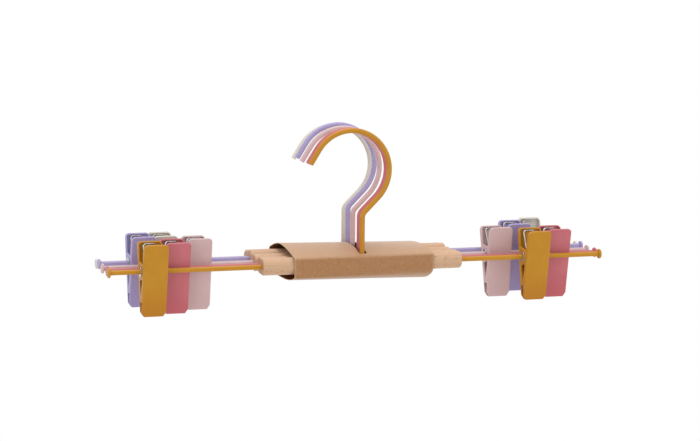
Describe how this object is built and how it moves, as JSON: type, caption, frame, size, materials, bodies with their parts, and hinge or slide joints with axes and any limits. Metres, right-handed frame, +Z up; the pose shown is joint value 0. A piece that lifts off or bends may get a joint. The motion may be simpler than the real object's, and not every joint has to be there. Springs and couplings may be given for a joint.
{
  "type": "skirt hanger set",
  "caption": "Banded set of skirt hangers: beech dowels in a card sleeve, each with a bent wire hook, painted rods and sliding sprung clips that grip a waistband.",
  "frame": {"origin": "inside of the hooks' crown at the middle of the set, where it rests on a rail", "axes": "+X along the rods, to the right seen from the front, +Y from the front hanger to the back one, +Z up"},
  "size_m": [0.4047, 0.08, 0.1415],
  "materials": {
    "kraft_card": "uncoated kraft card with fine fibres",
    "beech": "sanded, unvarnished beech",
    "plated_steel": "bright nickel plate",
    "ochre_paint": "satin powder coat",
    "rose_paint": "satin powder coat",
    "blush_paint": "satin powder coat",
    "lilac_paint": "satin powder coat",
    "chalk_paint": "satin powder coat"
  },
  "bodies": {
    "hangers": {"card_sleeve": "kraft_card", "ochre_dowel": "beech", "ochre_rods": "ochre_paint", "rose_dowel": "beech", "rose_rods": "rose_paint", "blush_dowel": "beech", "blush_rods": "blush_paint", "lilac_dowel": "beech", "lilac_rods": "lilac_paint", "chalk_dowel": "beech", "chalk_rods": "chalk_paint"},
    "ochre_hook": {"ochre_hook": "ochre_paint"},
    "ochre_left_eyelet": {"ochre_left_eyelet": "plated_steel"},
    "ochre_left_rear_jaw": {"ochre_left_rear_jaw": "ochre_paint", "ochre_left_spring": "plated_steel"},
    "ochre_left_front_jaw": {"ochre_left_front_jaw": "ochre_paint"},
    "ochre_right_eyelet": {"ochre_right_eyelet": "plated_steel"},
    "ochre_right_rear_jaw": {"ochre_right_rear_jaw": "ochre_paint", "ochre_right_spring": "plated_steel"},
    "ochre_right_front_jaw": {"ochre_right_front_jaw": "ochre_paint"},
    "rose_hook": {"rose_hook": "rose_paint"},
    "rose_left_eyelet": {"rose_left_eyelet": "plated_steel"},
    "rose_left_rear_jaw": {"rose_left_rear_jaw": "rose_paint", "rose_left_spring": "plated_steel"},
    "rose_left_front_jaw": {"rose_left_front_jaw": "rose_paint"},
    "rose_right_eyelet": {"rose_right_eyelet": "plated_steel"},
    "rose_right_rear_jaw": {"rose_right_rear_jaw": "rose_paint", "rose_right_spring": "plated_steel"},
    "rose_right_front_jaw": {"rose_right_front_jaw": "rose_paint"},
    "blush_hook": {"blush_hook": "blush_paint"},
    "blush_left_eyelet": {"blush_left_eyelet": "plated_steel"},
    "blush_left_rear_jaw": {"blush_left_rear_jaw": "blush_paint", "blush_left_spring": "plated_steel"},
    "blush_left_front_jaw": {"blush_left_front_jaw": "blush_paint"},
    "blush_right_eyelet": {"blush_right_eyelet": "plated_steel"},
    "blush_right_rear_jaw": {"blush_right_rear_jaw": "blush_paint", "blush_right_spring": "plated_steel"},
    "blush_right_front_jaw": {"blush_right_front_jaw": "blush_paint"},
    "lilac_hook": {"lilac_hook": "lilac_paint"},
    "lilac_left_eyelet": {"lilac_left_eyelet": "plated_steel"},
    "lilac_left_rear_jaw": {"lilac_left_rear_jaw": "lilac_paint", "lilac_left_spring": "plated_steel"},
    "lilac_left_front_jaw": {"lilac_left_front_jaw": "lilac_paint"},
    "lilac_right_eyelet": {"lilac_right_eyelet": "plated_steel"},
    "lilac_right_rear_jaw": {"lilac_right_rear_jaw": "lilac_paint", "lilac_right_spring": "plated_steel"},
    "lilac_right_front_jaw": {"lilac_right_front_jaw": "lilac_paint"},
    "chalk_hook": {"chalk_hook": "chalk_paint"},
    "chalk_left_eyelet": {"chalk_left_eyelet": "plated_steel"},
    "chalk_left_rear_jaw": {"chalk_left_rear_jaw": "chalk_paint", "chalk_left_spring": "plated_steel"},
    "chalk_left_front_jaw": {"chalk_left_front_jaw": "chalk_paint"},
    "chalk_right_eyelet": {"chalk_right_eyelet": "plated_steel"},
    "chalk_right_rear_jaw": {"chalk_right_rear_jaw": "chalk_paint", "chalk_right_spring": "plated_steel"},
    "chalk_right_front_jaw": {"chalk_right_front_jaw": "chalk_paint"}
  },
  "joints": [
    {"name": "ochre_hook_swivel", "type": "hinge", "parent": "hangers", "child": "ochre_hook", "pos_m": [0.0074, -0.0272, -0.1016], "axis": [0, 0, 1], "range_deg": [-10, 10]},
    {"name": "ochre_left_slide", "type": "slide", "parent": "hangers", "child": "ochre_left_eyelet", "axis": [1, 0, 0], "range_m": [-0.02, 0.001]},
    {"name": "ochre_left_swing", "type": "hinge", "parent": "ochre_left_eyelet", "child": "ochre_left_rear_jaw", "pos_m": [-0.1586, -0.0272, -0.1016], "axis": [1, 0, 0], "range_deg": [-18, 18]},
    {"name": "ochre_left_open", "type": "hinge", "parent": "ochre_left_rear_jaw", "child": "ochre_left_front_jaw", "pos_m": [-0.1586, -0.0272, -0.1016], "axis": [-1, 0, 0], "range_deg": [0, 30], "stiffness_Nm_per_rad": 0.2, "springref_deg": -28.65, "deforming": ["ochre_left_spring"]},
    {"name": "ochre_right_slide", "type": "slide", "parent": "hangers", "child": "ochre_right_eyelet", "axis": [1, 0, 0], "range_m": [-0.047, 0.003]},
    {"name": "ochre_right_swing", "type": "hinge", "parent": "ochre_right_eyelet", "child": "ochre_right_rear_jaw", "pos_m": [0.15142, -0.0272, -0.1016], "axis": [1, 0, 0], "range_deg": [-18, 18]},
    {"name": "ochre_right_open", "type": "hinge", "parent": "ochre_right_rear_jaw", "child": "ochre_right_front_jaw", "pos_m": [0.15142, -0.0272, -0.1016], "axis": [-1, 0, 0], "range_deg": [0, 30], "stiffness_Nm_per_rad": 0.2, "springref_deg": -28.65, "deforming": ["ochre_right_spring"]},
    {"name": "rose_hook_swivel", "type": "hinge", "parent": "hangers", "child": "rose_hook", "pos_m": [0.0095, -0.0136, -0.1024], "axis": [0, 0, 1], "range_deg": [-10, 10]},
    {"name": "rose_left_slide", "type": "slide", "parent": "hangers", "child": "rose_left_eyelet", "axis": [1, 0, 0], "range_m": [-0.001, 0.001]},
    {"name": "rose_left_swing", "type": "hinge", "parent": "rose_left_eyelet", "child": "rose_left_rear_jaw", "pos_m": [-0.1381, -0.0136, -0.1024], "axis": [1, 0, 0], "range_deg": [-18, 18]},
    {"name": "rose_left_open", "type": "hinge", "parent": "rose_left_rear_jaw", "child": "rose_left_front_jaw", "pos_m": [-0.1381, -0.0136, -0.1024], "axis": [-1, 0, 0], "range_deg": [0, 30], "stiffness_Nm_per_rad": 0.2, "springref_deg": -28.65, "deforming": ["rose_left_spring"]},
    {"name": "rose_right_slide", "type": "slide", "parent": "hangers", "child": "rose_right_eyelet", "axis": [1, 0, 0], "range_m": [-0.003, 0.0225]},
    {"name": "rose_right_swing", "type": "hinge", "parent": "rose_right_eyelet", "child": "rose_right_rear_jaw", "pos_m": [0.17422, -0.0136, -0.1024], "axis": [1, 0, 0], "range_deg": [-18, 18]},
    {"name": "rose_right_open", "type": "hinge", "parent": "rose_right_rear_jaw", "child": "rose_right_front_jaw", "pos_m": [0.17422, -0.0136, -0.1024], "axis": [-1, 0, 0], "range_deg": [0, 30], "stiffness_Nm_per_rad": 0.2, "springref_deg": -28.65, "deforming": ["rose_right_spring"]},
    {"name": "blush_hook_swivel", "type": "hinge", "parent": "hangers", "child": "blush_hook", "pos_m": [0.0086, 0, -0.1022], "axis": [0, 0, 1], "range_deg": [-10, 10]},
    {"name": "blush_left_slide", "type": "slide", "parent": "hangers", "child": "blush_left_eyelet", "axis": [1, 0, 0], "range_m": [-0.001, 0.0335]},
    {"name": "blush_left_swing", "type": "hinge", "parent": "blush_left_eyelet", "child": "blush_left_rear_jaw", "pos_m": [-0.1176, 0, -0.1022], "axis": [1, 0, 0], "range_deg": [-16, 20]},
    {"name": "blush_left_open", "type": "hinge", "parent": "blush_left_rear_jaw", "child": "blush_left_front_jaw", "pos_m": [-0.1176, 0, -0.1022], "axis": [-1, 0, 0], "range_deg": [0, 30], "stiffness_Nm_per_rad": 0.2, "springref_deg": -28.65, "deforming": ["blush_left_spring"]},
    {"name": "blush_right_slide", "type": "slide", "parent": "hangers", "child": "blush_right_eyelet", "axis": [1, 0, 0], "range_m": [-0.0275, 0.001]},
    {"name": "blush_right_swing", "type": "hinge", "parent": "blush_right_eyelet", "child": "blush_right_rear_jaw", "pos_m": [0.13002, 0, -0.1022], "axis": [1, 0, 0], "range_deg": [-14, 22]},
    {"name": "blush_right_open", "type": "hinge", "parent": "blush_right_rear_jaw", "child": "blush_right_front_jaw", "pos_m": [0.13002, 0, -0.1022], "axis": [-1, 0, 0], "range_deg": [0, 30], "stiffness_Nm_per_rad": 0.2, "springref_deg": -28.65, "deforming": ["blush_right_spring"]},
    {"name": "lilac_hook_swivel", "type": "hinge", "parent": "hangers", "child": "lilac_hook", "pos_m": [0.009, 0.0136, -0.1008], "axis": [0, 0, 1], "range_deg": [-10, 10]},
    {"name": "lilac_left_slide", "type": "slide", "parent": "hangers", "child": "lilac_left_eyelet", "axis": [1, 0, 0], "range_m": [-0.02, 0.001]},
    {"name": "lilac_left_swing", "type": "hinge", "parent": "lilac_left_eyelet", "child": "lilac_left_rear_jaw", "pos_m": [-0.1586, 0.0136, -0.1008], "axis": [1, 0, 0], "range_deg": [-18, 18]},
    {"name": "lilac_left_open", "type": "hinge", "parent": "lilac_left_rear_jaw", "child": "lilac_left_front_jaw", "pos_m": [-0.1586, 0.0136, -0.1008], "axis": [-1, 0, 0], "range_deg": [0, 30], "stiffness_Nm_per_rad": 0.2, "springref_deg": -28.65, "deforming": ["lilac_left_spring"]},
    {"name": "lilac_right_slide", "type": "slide", "parent": "hangers", "child": "lilac_right_eyelet", "axis": [1, 0, 0], "range_m": [-0.001, 0.0004]},
    {"name": "lilac_right_swing", "type": "hinge", "parent": "lilac_right_eyelet", "child": "lilac_right_rear_jaw", "pos_m": [0.15052, 0.0136, -0.1008], "axis": [1, 0, 0], "range_deg": [-18, 18]},
    {"name": "lilac_right_open", "type": "hinge", "parent": "lilac_right_rear_jaw", "child": "lilac_right_front_jaw", "pos_m": [0.15052, 0.0136, -0.1008], "axis": [-1, 0, 0], "range_deg": [0, 30], "stiffness_Nm_per_rad": 0.2, "springref_deg": -28.65, "deforming": ["lilac_right_spring"]},
    {"name": "chalk_hook_swivel", "type": "hinge", "parent": "hangers", "child": "chalk_hook", "pos_m": [0.0101, 0.0272, -0.1026], "axis": [0, 0, 1], "range_deg": [-10, 10]},
    {"name": "chalk_left_slide", "type": "slide", "parent": "hangers", "child": "chalk_left_eyelet", "axis": [1, 0, 0], "range_m": [-0.001, 0.0555]},
    {"name": "chalk_left_swing", "type": "hinge", "parent": "chalk_left_eyelet", "child": "chalk_left_rear_jaw", "pos_m": [-0.1381, 0.0272, -0.1026], "axis": [1, 0, 0], "range_deg": [-18, 18]},
    {"name": "chalk_left_open", "type": "hinge", "parent": "chalk_left_rear_jaw", "child": "chalk_left_front_jaw", "pos_m": [-0.1381, 0.0272, -0.1026], "axis": [-1, 0, 0], "range_deg": [0, 30], "stiffness_Nm_per_rad": 0.2, "springref_deg": -28.65, "deforming": ["chalk_left_spring"]},
    {"name": "chalk_right_slide", "type": "slide", "parent": "hangers", "child": "chalk_right_eyelet", "axis": [1, 0, 0], "range_m": [-0.0004, 0.0265]},
    {"name": "chalk_right_swing", "type": "hinge", "parent": "chalk_right_eyelet", "child": "chalk_right_rear_jaw", "pos_m": [0.17102, 0.0272, -0.1026], "axis": [1, 0, 0], "range_deg": [-33, 3]},
    {"name": "chalk_right_open", "type": "hinge", "parent": "chalk_right_rear_jaw", "child": "chalk_right_front_jaw", "pos_m": [0.17102, 0.0272, -0.1026], "axis": [-1, 0, 0], "range_deg": [0, 30], "stiffness_Nm_per_rad": 0.2, "springref_deg": -28.65, "deforming": ["chalk_right_spring"]}
  ]
}
